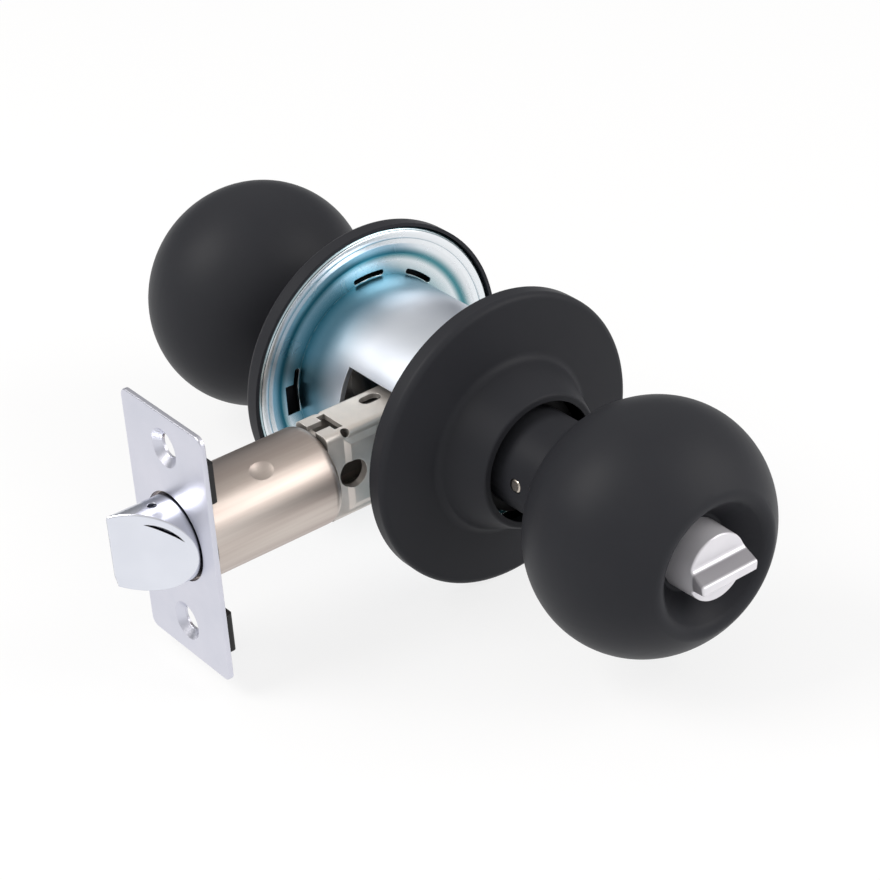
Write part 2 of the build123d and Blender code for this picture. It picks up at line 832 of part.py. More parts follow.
save(latch_bolt.part, "latch_bolt")

# Tail that the retractor pulls, and the pin that holds it in the bolt
with BuildPart() as latch_tail:
    with BuildSketch(Plane.XZ):
        with Locations(((collar_back + push_fit + head_front) / 2, 0)):
            Rectangle(head_front - collar_back - push_fit + tiny, tail_width)
        with Locations(((head_front - tail_end) / 2, 0)):
            Rectangle(tail_head, tail_head_width)
    extrude(amount=tail_sheet / 2, both=True)
    with Locations(Plane(origin=(boss_back - boss_length / 2, tail_sheet, 0), z_dir=(0, 1, 0))):
        Hole(pin_dia / 2 + running_fit, depth=2 * tail_sheet)
save(latch_tail.part, "latch_tail")

with BuildPart() as tail_pin:
    pin_plane = Plane(origin=(boss_back - boss_length / 2, 0, 0), z_dir=(0, 1, 0))
    with BuildSketch(pin_plane):
        Circle(pin_dia / 2)
    extrude(amount=boss_dia / 2 - spring_wire / 2, both=True)
save(tail_pin.part, "tail_pin")

bolt_spring = coil(collar_back, tube_inner_end, 0, 0, spring_dia, spring_wire, spring_turns)
save(bolt_spring, "bolt_spring")

# Fork: a folded sheet box that joins the tube to the chassis
with BuildPart() as latch_fork:
    with BuildSketch(Plane.YZ.offset(-tube_end)):
        RectangleRounded(fork_width, fork_height, fork_fold)
    extrude(amount=tube_end - fork_end)
    panel_length = panel_start - panel_end
    for way in (-1, 1):
        with BuildSketch(Plane.XZ.offset(way * fork_width / 2)):
            with Locations((-(panel_start + panel_end) / 2, 0)):
                Rectangle(panel_length, panel_height)
        extrude(amount=way * panel_rise, taper=panel_slope)
    with BuildSketch(Plane.YZ.offset(-tube_end + fork_sheet)):
        Rectangle(2 * fork_bore_y, 2 * fork_bore_z)
    extrude(amount=tube_end, mode=Mode.SUBTRACT)
    with BuildSketch(Plane.YZ.offset(-tube_end)):
        Rectangle(tail_sheet + 2 * guide_play, tail_width + 2 * guide_play)
    extrude(amount=fork_sheet, mode=Mode.SUBTRACT)
    with BuildSketch(Plane.XY.offset(fork_bore_z)):
        notch_end = -tube_end + notch_length
        with Locations((notch_end - notch_length / 2, 0)):
            Rectangle(notch_length, notch_width)
        with Locations((notch_end + notch_bar / 2, 0)):
            Rectangle(notch_bar, notch_bar_width)
        with Locations((-slot_place, slot_side)):
            SlotOverall(slot_length, slot_width)
    extrude(amount=2 * fork_sheet, mode=Mode.SUBTRACT)
    with BuildSketch(Plane.XZ):
        with Locations((-fork_hole_place, 0)):
            Circle(fork_hole_dia / 2)
    extrude(amount=fork_width, both=True, mode=Mode.SUBTRACT)
    for way in (-1, 1):
        corner = (-relief_place, way * fork_width / 2, fork_height / 2)
        with Locations(Plane(origin=corner, x_dir=(1, 0, 0), z_dir=(0, way, 1))):
            Hole(relief_dia / 2, depth=2 * fork_sheet)
save(latch_fork.part, "latch_fork")
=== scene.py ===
# %% [markdown]
# # A privacy door knob set
# The set lies on a pale floor as it leaves its box: two satin black ball knobs on round roses, a
# zinc plated chassis between them, a turn button in the near knob, and a spring latch that points
# to the left. The solids already have their true size and place, so this lesson gives them their
# finishes, a few fine pieces, light and a camera. The first step loads the solids and keeps the
# size of the whole set.

# %% Load the solids
import json
from math import cos, pi, radians, sin

import bpy
from mathutils import Matrix, Vector


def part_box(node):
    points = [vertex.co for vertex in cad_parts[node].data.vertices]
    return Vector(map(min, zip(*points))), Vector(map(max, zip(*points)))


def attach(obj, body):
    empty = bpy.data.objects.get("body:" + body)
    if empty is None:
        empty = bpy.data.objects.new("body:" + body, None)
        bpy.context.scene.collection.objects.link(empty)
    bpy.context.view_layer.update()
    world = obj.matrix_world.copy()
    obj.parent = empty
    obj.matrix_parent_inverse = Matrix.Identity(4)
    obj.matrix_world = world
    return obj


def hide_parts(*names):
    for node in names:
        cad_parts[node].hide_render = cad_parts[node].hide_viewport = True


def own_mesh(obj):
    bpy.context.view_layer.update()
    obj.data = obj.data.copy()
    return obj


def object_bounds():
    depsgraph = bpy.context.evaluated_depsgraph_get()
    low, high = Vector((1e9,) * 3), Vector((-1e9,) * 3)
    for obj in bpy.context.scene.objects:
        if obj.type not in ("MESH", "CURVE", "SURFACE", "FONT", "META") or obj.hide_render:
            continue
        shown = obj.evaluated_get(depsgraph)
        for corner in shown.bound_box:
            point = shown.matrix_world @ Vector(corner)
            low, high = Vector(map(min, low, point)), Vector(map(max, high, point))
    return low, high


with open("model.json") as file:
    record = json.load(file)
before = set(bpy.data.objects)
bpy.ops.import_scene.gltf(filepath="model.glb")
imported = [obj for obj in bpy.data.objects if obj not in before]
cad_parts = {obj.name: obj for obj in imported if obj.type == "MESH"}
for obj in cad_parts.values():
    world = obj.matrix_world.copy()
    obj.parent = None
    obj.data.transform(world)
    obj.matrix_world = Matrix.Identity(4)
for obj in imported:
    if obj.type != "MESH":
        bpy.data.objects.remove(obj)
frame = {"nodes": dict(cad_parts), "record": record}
nodes = frame["nodes"]
cad_low, cad_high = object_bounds()
print("loaded", len(nodes), "pieces,", [round(1000 * side, 1) for side in cad_high - cad_low], "mm")

# %% [markdown]
# ## Helpers for node trees
# A finish is a small tree of nodes. Each tree here is built by the same few moves: make a node,
# set its values, and link one socket to another. Three helpers keep those moves short: one makes a
# node, one starts a shader node group with its own named sockets, and one places such a group in a
# finish. A group is worth its trouble where several finishes share an effect.


# %% Helpers for node trees
def make_node(tree, kind, values=None, **settings):
    """A node of the given kind, with its settings and the values of its input sockets."""
    node = tree.nodes.new(kind)
    for name, setting in settings.items():
        setattr(node, name, setting)
    for socket, value in (values or {}).items():
        node.inputs[socket].default_value = value
    return node


def start_group(name, inputs, outputs):
    """An empty shader group with named sockets, with what it takes in and what it puts out."""
    group = bpy.data.node_groups.new(name, "ShaderNodeTree")
    for label, (kind, value) in inputs.items():
        socket = group.interface.new_socket(label, in_out="INPUT", socket_type="NodeSocket" + kind)
        socket.default_value = value
    for label, kind in outputs.items():
        group.interface.new_socket(label, in_out="OUTPUT", socket_type="NodeSocket" + kind)
    entry = group.nodes.new("NodeGroupInput")
    leave = group.nodes.new("NodeGroupOutput")
    return group, entry.outputs, leave.inputs


def use_group(tree, group, **values):
    """The group placed in a finish, with its own values. Spaces in socket names are underscores."""
    node = tree.nodes.new("ShaderNodeGroup")
    node.node_tree = group
    for label, value in values.items():
        node.inputs[label.replace("_", " ").capitalize()].default_value = value
    return node


print("helpers ready")

# %% [markdown]
# ## Surface grain
# Baked paint, plating and moulded plastic are never quite smooth. A fine grain breaks up each
# highlight, and slow cloudy patches, left by handling and by the plating bath, make one area a
# little duller than the next. One group gives both: the grain as a height for a Bump node, and the
# patches as a mask from 0 to 1. The vector input lets a finish stretch the grain one way.

# %% Surface grain group
grain_group, entry, leave = start_group(
    "Surface grain",
    {
        "Vector": ("Vector", (0, 0, 0)),
        "Grain scale": ("Float", 2500),
        "Patch scale": ("Float", 60),
    },
    {"Height": "Float", "Patch": "Float"},
)
fine = make_node(grain_group, "ShaderNodeTexNoise", {"Detail": 3, "Roughness": 0.55})
cloud = make_node(grain_group, "ShaderNodeTexNoise", {"Detail": 4, "Roughness": 0.6})
spread = make_node(grain_group, "ShaderNodeMapRange", {"From Min": 0.3, "From Max": 0.7})
grain_group.links.new(entry["Vector"], fine.inputs["Vector"])
grain_group.links.new(entry["Vector"], cloud.inputs["Vector"])
grain_group.links.new(entry["Grain scale"], fine.inputs["Scale"])
grain_group.links.new(entry["Patch scale"], cloud.inputs["Scale"])
grain_group.links.new(cloud.outputs["Fac"], spread.inputs["Value"])
grain_group.links.new(fine.outputs["Fac"], leave["Height"])
grain_group.links.new(spread.outputs["Result"], leave["Patch"])
print("made the group", grain_group.name)

# %% [markdown]
# ## Rubbed edges
# Where pieces knock together in the box, the finish wears first on the edges. The Bevel node looks
# a short way round each point and gives the normal that a rounded edge would have. Where that
# normal leans away from the true one, there is an edge, so the difference is a mask of the edges.
# A little noise breaks the mask up, because no edge wears evenly.

# %% Rubbed edge group
edge_width = 0.0004
edge_samples = 4

edge_group, entry, leave = start_group(
    "Rubbed edge",
    {"Vector": ("Vector", (0, 0, 0)), "Width": ("Float", edge_width), "Break up": ("Float", 900)},
    {"Mask": "Float"},
)
round_normal = make_node(edge_group, "ShaderNodeBevel", samples=edge_samples)
true_normal = make_node(edge_group, "ShaderNodeNewGeometry")
agree = make_node(edge_group, "ShaderNodeVectorMath", operation="DOT_PRODUCT")
lean = make_node(edge_group, "ShaderNodeMapRange", {"From Min": 0.97, "From Max": 0.8})
rub = make_node(edge_group, "ShaderNodeTexNoise", {"Detail": 3})
uneven = make_node(edge_group, "ShaderNodeMapRange", {"From Min": 0.35, "From Max": 0.65})
both = make_node(edge_group, "ShaderNodeMath", operation="MULTIPLY")
edge_group.links.new(entry["Width"], round_normal.inputs["Radius"])
edge_group.links.new(round_normal.outputs["Normal"], agree.inputs[0])
edge_group.links.new(true_normal.outputs["Normal"], agree.inputs[1])
edge_group.links.new(agree.outputs["Value"], lean.inputs["Value"])
edge_group.links.new(entry["Vector"], rub.inputs["Vector"])
edge_group.links.new(entry["Break up"], rub.inputs["Scale"])
edge_group.links.new(rub.outputs["Fac"], uneven.inputs["Value"])
edge_group.links.new(lean.outputs["Result"], both.inputs[0])
edge_group.links.new(uneven.outputs["Result"], both.inputs[1])
edge_group.links.new(both.outputs["Value"], leave["Mask"])
print("made the group", edge_group.name)

# %% [markdown]
# ## Film and painted shade in the corners
# Zinc comes out of its passivating bath with a thin blue film, which is thickest in the corners,
# where the bath drains last, and at the end of the work that hung lowest. The colour that this mask
# lays on is also painted shade: it darkens the corners, where shade falls, and on the other metals
# it is painted shade alone. The Ambient Occlusion node counts how much of the space over a point is
# taken up by other surfaces, so it finds the corners, and the open share says how much of the
# painted colour the open faces take. The stretch that it covers runs along Y: it starts at one
# line, is full between two more and ends at the last. The product of the two is the mask of the
# corners. A pressed groove is too shallow for that, so a ring round the knob axis can be added to
# the mask.

# %% Corner film and painted shade group
corner_samples = 16

film_and_shade_group, entry, leave = start_group(
    "Corner film and painted shade",
    {
        "Vector": ("Vector", (0, 0, 0)),
        "Reach": ("Float", 0.01),
        "Starts at": ("Float", -2),
        "Full at": ("Float", -1),
        "Full until": ("Float", 1),
        "Ends at": ("Float", 2),
        "Open share": ("Float", 0),
        "Ring radius": ("Float", -1),
        "Ring width": ("Float", 0.001),
    },
    {"Mask": "Float"},
)
closed_in = make_node(film_and_shade_group, "ShaderNodeAmbientOcclusion", samples=corner_samples)
corner = make_node(film_and_shade_group, "ShaderNodeMapRange", {"From Min": 0.92, "From Max": 0.4})
along = make_node(film_and_shade_group, "ShaderNodeSeparateXYZ")
low_end = make_node(film_and_shade_group, "ShaderNodeMapRange", interpolation_type="SMOOTHSTEP")
high_end = make_node(film_and_shade_group, "ShaderNodeMapRange", interpolation_type="SMOOTHSTEP")
stretch_mask = make_node(film_and_shade_group, "ShaderNodeMath", operation="MULTIPLY")
corner_mask = make_node(film_and_shade_group, "ShaderNodeMath", operation="MULTIPLY")
across = make_node(film_and_shade_group, "ShaderNodeCombineXYZ")
radius = make_node(film_and_shade_group, "ShaderNodeVectorMath", operation="LENGTH")
off_ring = make_node(film_and_shade_group, "ShaderNodeMath", operation="SUBTRACT")
from_ring = make_node(film_and_shade_group, "ShaderNodeMath", operation="ABSOLUTE")
ring_mask = make_node(film_and_shade_group, "ShaderNodeMapRange", interpolation_type="SMOOTHSTEP")
ring_mask.inputs["From Max"].default_value = 0
# Where the film colour goes: painted shade in the corners, along the stretch and in the groove ring,
# and on zinc its blue film too.
film_and_shade_mask = make_node(film_and_shade_group, "ShaderNodeMath", operation="MAXIMUM")
film_and_shade_group.links.new(entry["Reach"], closed_in.inputs["Distance"])
film_and_shade_group.links.new(closed_in.outputs["AO"], corner.inputs["Value"])
film_and_shade_group.links.new(entry["Open share"], corner.inputs["To Min"])
film_and_shade_group.links.new(entry["Vector"], along.inputs["Vector"])
film_and_shade_group.links.new(along.outputs["Y"], low_end.inputs["Value"])
film_and_shade_group.links.new(entry["Starts at"], low_end.inputs["From Min"])
film_and_shade_group.links.new(entry["Full at"], low_end.inputs["From Max"])
film_and_shade_group.links.new(along.outputs["Y"], high_end.inputs["Value"])
film_and_shade_group.links.new(entry["Ends at"], high_end.inputs["From Min"])
film_and_shade_group.links.new(entry["Full until"], high_end.inputs["From Max"])
film_and_shade_group.links.new(low_end.outputs["Result"], stretch_mask.inputs[0])
film_and_shade_group.links.new(high_end.outputs["Result"], stretch_mask.inputs[1])
film_and_shade_group.links.new(corner.outputs["Result"], corner_mask.inputs[0])
film_and_shade_group.links.new(stretch_mask.outputs["Value"], corner_mask.inputs[1])
film_and_shade_group.links.new(along.outputs["X"], across.inputs["X"])
film_and_shade_group.links.new(along.outputs["Z"], across.inputs["Z"])
film_and_shade_group.links.new(across.outputs["Vector"], radius.inputs["Vector"])
film_and_shade_group.links.new(radius.outputs["Value"], off_ring.inputs[0])
film_and_shade_group.links.new(entry["Ring radius"], off_ring.inputs[1])
film_and_shade_group.links.new(off_ring.outputs["Value"], from_ring.inputs[0])
film_and_shade_group.links.new(from_ring.outputs["Value"], ring_mask.inputs["Value"])
film_and_shade_group.links.new(entry["Ring width"], ring_mask.inputs["From Min"])
film_and_shade_group.links.new(corner_mask.outputs["Value"], film_and_shade_mask.inputs[0])
film_and_shade_group.links.new(ring_mask.outputs["Result"], film_and_shade_mask.inputs[1])
film_and_shade_group.links.new(film_and_shade_mask.outputs["Value"], leave["Mask"])
print("made the group", film_and_shade_group.name)

# %% [markdown]
# ## One way to build each finish
# All the finishes share a plan. The colour moves between a main colour and a patch colour, the
# corners and the edges each take a colour of their own, the roughness follows the patches, and the
# grain goes through a Bump node to the normal. The colour of the corners, and of any stretch that a
# finish names, is painted shade, and on zinc its blue film as well. The numbers that differ are
# handed over as a small set of named values. What is the same all over a surface, such as the metal
# share, is set on the shader's own socket.


# %% Finish builder
grain_depth = 0.0001


def finish(name, colour, patch, edge, roughness, metal, grain, bump, patch_scale, stretch=(1, 1, 1),
           specular=0.5, film_and_shade=None, film_and_shade_values=None):
    """A material with cloudy patches, rubbed edges and a fine grain, on Object coordinates."""
    material = bpy.data.materials.new(name)
    material.use_nodes = True
    tree = material.node_tree
    shader = tree.nodes["Principled BSDF"]
    shader.inputs["Metallic"].default_value = metal
    shader.inputs["Specular IOR Level"].default_value = specular
    place = make_node(tree, "ShaderNodeTexCoord")
    stretched = make_node(tree, "ShaderNodeMapping", {"Scale": stretch})
    surface = use_group(tree, grain_group, grain_scale=grain, patch_scale=patch_scale)
    rubbed = use_group(tree, edge_group)
    cloudy = make_node(tree, "ShaderNodeMix", data_type="RGBA")
    worn = make_node(tree, "ShaderNodeMix", data_type="RGBA")
    dull = make_node(tree, "ShaderNodeMapRange", {"To Min": roughness[0], "To Max": roughness[1]})
    raised = make_node(tree, "ShaderNodeBump", {"Strength": bump, "Distance": grain_depth})
    soft_edge = make_node(tree, "ShaderNodeBevel", {"Radius": edge_width / 2}, samples=edge_samples)
    cloudy.inputs["A"].default_value = (*colour, 1)
    cloudy.inputs["B"].default_value = (*patch, 1)
    worn.inputs["B"].default_value = (*edge, 1)
    tree.links.new(place.outputs["Object"], stretched.inputs["Vector"])
    tree.links.new(stretched.outputs["Vector"], surface.inputs["Vector"])
    tree.links.new(place.outputs["Object"], rubbed.inputs["Vector"])
    tree.links.new(surface.outputs["Patch"], cloudy.inputs["Factor"])
    coloured = cloudy
    # Painted shade: where the mask is, the colour turns to the dark film colour, which on zinc is also
    # its blue film.
    if film_and_shade:
        film_and_shade_node = use_group(tree, film_and_shade_group, **film_and_shade_values)
        coloured = make_node(tree, "ShaderNodeMix", data_type="RGBA")
        coloured.inputs["B"].default_value = (*film_and_shade, 1)
        tree.links.new(place.outputs["Object"], film_and_shade_node.inputs["Vector"])
        tree.links.new(film_and_shade_node.outputs["Mask"], coloured.inputs["Factor"])
        tree.links.new(cloudy.outputs["Result"], coloured.inputs["A"])
    tree.links.new(coloured.outputs["Result"], worn.inputs["A"])
    tree.links.new(rubbed.outputs["Mask"], worn.inputs["Factor"])
    tree.links.new(worn.outputs["Result"], shader.inputs["Base Color"])
    tree.links.new(surface.outputs["Patch"], dull.inputs["Value"])
    tree.links.new(dull.outputs["Result"], shader.inputs["Roughness"])
    tree.links.new(surface.outputs["Height"], raised.inputs["Height"])
    tree.links.new(soft_edge.outputs["Normal"], raised.inputs["Normal"])
    tree.links.new(raised.outputs["Normal"], shader.inputs["Normal"])
    return material


print("finish builder ready")

# %% [markdown]
# ## Black coat and plastic
# The knobs and roses are steel under a satin black baked coat, the two hubs take a near-black
# finish, which keeps the mouths of the roses dark, and the pad behind the faceplate and the bushes
# of the stem are moulded plastic. A colour and a roughness alone would do, but one flat value looks
# like a drawing and not like paint. So each finish has two near colours for its patches and a
# lighter one for its edges, with little gloss.

# %% Black coat and plastic
finishes = {
    "satin_black": finish(
        "Satin black coat",
        (0.0232, 0.024, 0.0283), (0.0262, 0.027, 0.0312), (0.0345, 0.0354, 0.039),
        roughness=(0.42, 0.49), metal=0, grain=2600, bump=0.05, patch_scale=40, specular=0.1,
    ),
    "blackened_steel": finish(
        "Blackened steel", (0.016, 0.016, 0.018), (0.022, 0.022, 0.024), (0.05, 0.05, 0.052),
        roughness=(0.4, 0.55), metal=0, grain=2000, bump=0.1, patch_scale=90, specular=0.2,
    ),
    "black_plastic": finish(
        "Black moulded plastic", (0.012, 0.012, 0.013), (0.017, 0.017, 0.018), (0.03, 0.03, 0.03),
        roughness=(0.45, 0.55), metal=0, grain=3200, bump=0.12, patch_scale=110, specular=0.3,
    ),
}
print("made", list(finishes))

# %% [markdown]
# ## Zinc plate
# The case, its cap, the screws and the pressed plates are zinc plated, with the faint blue of the
# passivating bath. A dark blue is painted on that is partly that blue and partly painted shade: on
# the case it is deepest towards its rear end, next to the liner, and on the liner it lies in the
# corners and in the pressed groove. It could be painted on by hand, but the corner film finds the
# corners by itself. It needs only the two lines along the case between which the blue comes in,
# and the place of the groove.

# %% Zinc plate
groove_radius = 0.0256
groove_width = 0.0021
blue_starts = 0.009
blue_full = 0.022

finishes["bright_zinc"] = finish(
    "Bright zinc plate", (0.8, 0.85, 0.89), (0.86, 0.88, 0.9), (0.94, 0.94, 0.93),
    roughness=(0.22, 0.3), metal=1, grain=1800, bump=0.05, patch_scale=45,
    # Dark teal in the corners and in the groove ring: partly the blue film, partly painted shade.
    film_and_shade=(0.08, 0.26, 0.3),
    film_and_shade_values={"reach": 0.006, "ring_radius": groove_radius, "ring_width": groove_width},
)
own_finishes = {
    "chassis_case": finish(
        "Blue zinc plate", (0.78, 0.83, 0.92), (0.83, 0.87, 0.94), (0.92, 0.94, 0.97),
        roughness=(0.3, 0.36), metal=1, grain=1800, bump=0.05, patch_scale=45,
        # Dark blue towards the rear end of the case and in its corners: partly the blue film, partly
        # painted shade.
        film_and_shade=(0.05, 0.25, 0.36),
        film_and_shade_values={
            "reach": 0.014, "open_share": 0.6, "starts_at": blue_starts, "full_at": blue_full,
        },
    ),
}
print("made bright_zinc, and one for", list(own_finishes))

# %% [markdown]
# ## Chrome plate
# The faceplate is satin chrome, the bolt is polished chrome, and the turn button is a softer bright
# chrome. Chrome shows mostly what stands round it, so these differ more in roughness than in
# colour. The slopes of the button's finger bar mirror the dark dish round them, and that dark
# reflection is painted on: a darker colour covers that short stretch, which is measured from the
# front of the bar.

# %% Chrome plate
slope_starts = 0.0001
slope_full = 0.0007
slope_full_until = 0.0027
slope_ends = 0.0033
bar_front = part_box("turn_button")[0].y

finishes["bright_chrome"] = finish(
    "Bright chrome plate", (0.76, 0.75, 0.79), (0.7, 0.69, 0.73), (0.9, 0.9, 0.92),
    roughness=(0.22, 0.28), metal=0.3, grain=3000, bump=0.04, patch_scale=120,
    # Painted reflection: the dark dish mirrored in the slopes of the finger bar, as a darker colour.
    film_and_shade=(0.12, 0.115, 0.13),
    film_and_shade_values={
        "reach": 0.006, "open_share": 0.75,
        "starts_at": bar_front + slope_starts, "full_at": bar_front + slope_full,
        "full_until": bar_front + slope_full_until, "ends_at": bar_front + slope_ends,
    },
)
finishes["satin_chrome"] = finish(
    "Satin chrome plate", (0.69, 0.69, 0.77), (0.65, 0.66, 0.74), (0.86, 0.86, 0.91),
    roughness=(0.32, 0.4), metal=1, grain=4200, bump=0.1, patch_scale=90,
)
own_finishes["latch_bolt"] = finish(
    "Polished chrome plate", (0.78, 0.8, 0.87), (0.74, 0.76, 0.83), (0.9, 0.91, 0.95),
    roughness=(0.2, 0.26), metal=1, grain=4200, bump=0.06, patch_scale=90,
    # Painted shade: a dark blue colour in the bolt's corners, where shade falls.
    film_and_shade=(0.04, 0.045, 0.07), film_and_shade_values={"reach": 0.0016},
)
print("made bright_chrome and satin_chrome, and one for latch_bolt")

# %% [markdown]
# ## Nickel and steel
# The latch tube is warm satin nickel, drawn along its length, with painted shade on its rear side
# that dims the highlight there. The fork is dull plated steel, with painted shade in its corners.
# The springs, the clip and the catches are spring steel, and the other hidden works are plain
# steel. Draw marks could be a bump, but here the patches are stretched along the tube, so that they
# turn into streaks of roughness, as draw marks are, and into light and dark streaks of colour,
# which are painted reflections.

# %% Nickel and steel
# Along Y, where the painted shade on the rear side of the tube starts and where it is full.
painted_shade_starts = -0.007
painted_shade_full = -0.0005

# The dark patch colour paints reflections as streaks along the tube, and the film colour is painted
# shade on its rear side.
finishes["satin_nickel"] = finish(
    "Satin nickel plate", (0.65, 0.585, 0.535), (0.4, 0.32, 0.29), (0.8, 0.76, 0.72),
    roughness=(0.38, 0.46), metal=1, grain=1500, bump=0.06, patch_scale=170,
    stretch=(0.04, 1, 1), film_and_shade=(0.36, 0.31, 0.29),
    film_and_shade_values={"starts_at": painted_shade_starts, "full_at": painted_shade_full, "open_share": 0.65},
)
finishes["fork_steel"] = finish(
    "Dull plated steel", (0.72, 0.66, 0.61), (0.6, 0.57, 0.54), (0.88, 0.85, 0.81),
    roughness=(0.3, 0.42), metal=0.6, grain=1600, bump=0.1, patch_scale=140,
    # Painted shade: a darker colour in the fork's corners, where shade falls.
    film_and_shade=(0.2, 0.19, 0.18), film_and_shade_values={"reach": 0.003},
)
finishes["spring_steel"] = finish(
    "Spring steel", (0.6, 0.53, 0.45), (0.5, 0.46, 0.42), (0.82, 0.79, 0.75),
    roughness=(0.22, 0.34), metal=1, grain=2400, bump=0.06, patch_scale=200,
)
finishes["plain_steel"] = finish(
    "Plain steel", (0.5, 0.5, 0.5), (0.43, 0.42, 0.41), (0.75, 0.75, 0.75),
    roughness=(0.3, 0.42), metal=1, grain=1900, bump=0.1, patch_scale=120,
)
print("made", len(finishes), "finishes in all")

# %% [markdown]
# ## Hand out the finishes
# Each piece takes the finish of the slot that its record names, as the only material of its mesh.
# Two pieces have a finish of their own: the case, which is bluer than the other zinc, and the bolt,
# which is polished where the faceplate is satin.

# %% Hand out the finishes
for row in frame["record"]["subparts"]:
    piece = nodes[row["node"]]
    piece.data.materials.clear()
    piece.data.materials.append(own_finishes.get(row["node"], finishes[row["material_slot"]]))
print("gave", len(nodes), "pieces one of", len(finishes) + len(own_finishes), "finishes")

# %% [markdown]
# ## Rolled beads
# The pressed plate inside each rose ends in a rolled bead that stiffens its rim and catches the
# light as a bright ring. A bead is a small flat oval carried round the knob axis. So the start is a
# circle beside the axis, which is squeezed to the oval in edit mode and spun all the way round. The
# spin leaves a double seam where it closes, so the doubles are merged and the faces turned
# outwards. The bead is modelled once and copied for the second plate.

# %% Rolled beads
bead_width = 0.0019
bead_height = 0.00025
bead_from_edge = 0.0016
bead_sides = 16
bead_steps = 160
seam_gap = 1e-6

liner_low, liner_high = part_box("outside_rose_liner")
plate_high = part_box("inside_mounting_plate")[1]
bead_radius = liner_high.x - bead_from_edge
bead_place = (bead_radius, 0, 0)
bpy.ops.object.select_all(action="DESELECT")
bpy.ops.mesh.primitive_circle_add(vertices=bead_sides, radius=bead_width / 2, location=bead_place)
liner_bead = bpy.context.object
liner_bead.name = "outside_liner_bead"
bpy.ops.object.transform_apply(location=True, rotation=True, scale=True)
bpy.ops.object.mode_set(mode="EDIT")
bpy.ops.mesh.select_all(action="SELECT")
squeeze = 2 * bead_height / bead_width
bpy.ops.transform.resize(value=(1, squeeze, 1), center_override=bead_place)
bpy.ops.mesh.spin(steps=bead_steps, angle=2 * pi, center=(0, 0, 0), axis=(0, 1, 0))
bpy.ops.mesh.select_all(action="SELECT")
bpy.ops.mesh.remove_doubles(threshold=seam_gap)
bpy.ops.mesh.normals_make_consistent(inside=False)
bpy.ops.object.mode_set(mode="OBJECT")
bpy.ops.object.shade_smooth()
plate_bead = liner_bead.copy()
plate_bead.data = liner_bead.data.copy()
plate_bead.name = "inside_plate_bead"
bpy.context.scene.collection.objects.link(plate_bead)
for bead, face in ((liner_bead, liner_low.y), (plate_bead, plate_high.y)):
    bead.data.transform(Matrix.Translation((0, face, 0)))
    bead.data.materials.clear()
    bead.data.materials.append(finishes["bright_zinc"])
    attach(bead, "chassis")
print("beads of", len(liner_bead.data.polygons), "faces at radius", round(1000 * bead_radius, 2), "mm")

# %% [markdown]
# ## Wound springs
# The bolt spring and the two return springs are pressed together when the bolt is drawn in, which
# a rigid solid can't show. A curve with a round bevel could be the coil, but here it is wound as a
# spring maker winds it: a small circle of wire stands beside the axis, and a Screw modifier carries
# it round and along. The two open ends are closed with a face each. All three springs are wound this
# way, so the steps are a function.

# %% Spring winder
wire_sides = 12
steps_per_turn = 32


def wind_spring(name, start, length, dia, wire, turns):
    """A coil along X with closed ends, from start, which lies on its axis."""
    bpy.ops.object.select_all(action="DESELECT")
    first = start + Vector((wire / 2, 0, 0))
    bpy.ops.mesh.primitive_circle_add(
        vertices=wire_sides, radius=wire / 2, location=first, rotation=(pi / 2, 0, 0)
    )
    coil = bpy.context.object
    coil.name = name
    bpy.ops.object.transform_apply(location=False, rotation=True, scale=True)
    bpy.ops.object.mode_set(mode="EDIT")
    bpy.ops.mesh.select_all(action="SELECT")
    bpy.ops.transform.translate(value=(0, 0, (dia - wire) / 2))
    bpy.ops.object.mode_set(mode="OBJECT")
    screw = coil.modifiers.new("wind", "SCREW")
    screw.axis = "X"
    screw.iterations = turns
    screw.screw_offset = (length - wire) / turns
    screw.steps = steps_per_turn
    screw.render_steps = steps_per_turn
    bpy.ops.object.modifier_apply(modifier="wind")
    bpy.ops.object.transform_apply(location=True, rotation=True, scale=True)
    bpy.ops.object.mode_set(mode="EDIT")
    bpy.ops.mesh.select_all(action="SELECT")
    bpy.ops.mesh.fill_holes(sides=0)
    bpy.ops.mesh.normals_make_consistent(inside=False)
    bpy.ops.object.mode_set(mode="OBJECT")
    return coil


print("spring winder ready")

# %% [markdown]
# ## The bolt spring and the return springs
# The bolt spring is the stout one in the tube, and the return springs are a fine pair beside the
# retractor, wound once and copied within one piece. The coils take their place from the solids that
# they stand for.

# %% Springs
coil_turns = 6
bolt_wire = 0.001
return_wire = 0.0006
return_dia = 0.0036

bolt_low, bolt_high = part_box("bolt_spring")
bolt_coil = wind_spring(
    "bolt_coil", Vector((bolt_low.x, 0, 0)), bolt_high.x - bolt_low.x,
    dia=bolt_high.z - bolt_low.z, wire=bolt_wire, turns=coil_turns,
)
pair_low, pair_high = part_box("retractor_springs")
pair_axis = Vector((0, pair_high.y - return_dia / 2, pair_high.z - return_dia / 2))
return_coils = wind_spring(
    "return_coils", Vector((pair_low.x, 0, 0)) + pair_axis, pair_high.x - pair_low.x,
    dia=return_dia, wire=return_wire, turns=coil_turns,
)
bpy.ops.object.mode_set(mode="EDIT")
bpy.ops.mesh.select_all(action="SELECT")
bpy.ops.mesh.duplicate()
bpy.ops.transform.translate(value=-2 * pair_axis)
bpy.ops.object.mode_set(mode="OBJECT")
for coil, node in ((bolt_coil, "bolt_spring"), (return_coils, "retractor_springs")):
    coil.data.materials.clear()
    coil.data.materials.append(finishes["spring_steel"])
    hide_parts(node)
    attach(coil, "chassis")
    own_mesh(coil)

# %% [markdown]
# ## Floor
# The set lies on a plain white floor that fills the picture. Part of what the camera sees there is
# the floor's own white, which stays even, and part is lit paper, which keeps the soft shadow.
# Polished metal mirrors the floor, and there glossy rays get the even white alone.

